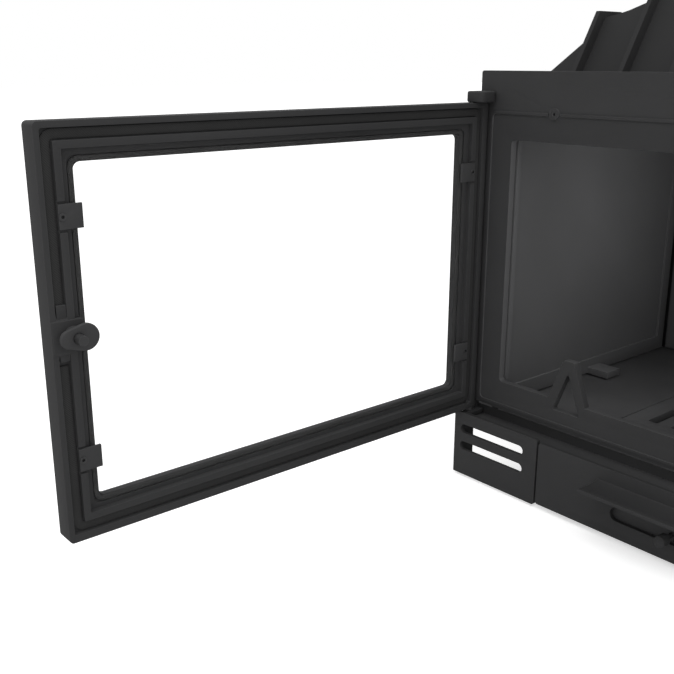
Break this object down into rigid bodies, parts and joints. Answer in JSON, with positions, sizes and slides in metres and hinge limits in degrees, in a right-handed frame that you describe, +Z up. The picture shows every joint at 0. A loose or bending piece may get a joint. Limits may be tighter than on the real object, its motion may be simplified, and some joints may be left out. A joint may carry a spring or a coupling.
{
  "type": "fireplace insert",
  "caption": "Cast-iron fireplace insert with an open glazed door, pierced log horns, ash drawer with grip and air slider, finned hood and flue collar.",
  "frame": {"origin": "middle of the front frame's face plane, on the floor under the feet", "axes": "+X right along the front, +Y into the hearth, +Z up; the door hinges at the left and stands open towards -Y"},
  "size_m": [0.6639, 1.07, 0.704],
  "materials": {
    "cast_iron": "matte stove paint on cast iron",
    "fire_iron": "matte cast iron",
    "sheet_steel": "matte black painted steel",
    "fixings": "blackened steel",
    "steel": "plain steel",
    "rope": "woven heat-proof rope",
    "glass": "clear heat-proof glass"
  },
  "bodies": {
    "casing": {"front_frame": "cast_iron", "side_wall_left": "cast_iron", "side_wall_right": "cast_iron", "back_wall": "cast_iron", "base_plate": "cast_iron", "smoke_hood": "cast_iron", "flue_collar": "cast_iron", "apron_left": "cast_iron", "apron_right": "cast_iron", "upper_hinge_lug": "cast_iron", "lower_hinge_lug": "cast_iron", "hearth_floor": "fire_iron", "grate": "fire_iron", "side_liner_left": "fire_iron", "side_liner_right": "fire_iron", "back_liner": "fire_iron", "baffle": "fire_iron", "ash_box": "sheet_steel", "hood_bolts": "fixings", "frame_bolts": "fixings", "base_bolts": "fixings", "foot_locknuts": "fixings", "levelling_feet": "steel", "upper_hinge_pin": "steel", "lower_hinge_pin": "steel", "hinge_spacer": "steel"},
    "door": {"door_casting": "cast_iron", "door_glass": "glass", "glass_gasket": "rope", "glass_clips": "fire_iron", "clip_screws": "fixings", "door_rope": "rope"},
    "latch": {"latch_spindle": "steel", "latch_cam": "fire_iron", "latch_washer": "steel", "door_handle": "steel"},
    "drawer": {"drawer_front": "cast_iron", "ash_pan": "sheet_steel", "air_port_plate": "sheet_steel", "port_screws": "fixings"},
    "air_control": {"air_slider": "sheet_steel", "air_knob": "cast_iron"}
  },
  "joints": [
    {"name": "door_hinge", "type": "hinge", "parent": "casing", "child": "door", "pos_m": [-0.3035, -0.0095, 0.315], "axis": [0, 0, 1], "range_deg": [-10, 90]},
    {"name": "latch_turn", "type": "hinge", "parent": "door", "child": "latch", "pos_m": [-0.3, -0.601, 0.3238], "axis": [-1, 0, 0], "range_deg": [0, 90]},
    {"name": "ash_drawer", "type": "slide", "parent": "casing", "child": "drawer", "axis": [0, -1, 0], "range_m": [0, 0.28]},
    {"name": "air_slide", "type": "slide", "parent": "drawer", "child": "air_control", "axis": [1, 0, 0], "range_m": [-0.07, 0.01]}
  ]
}
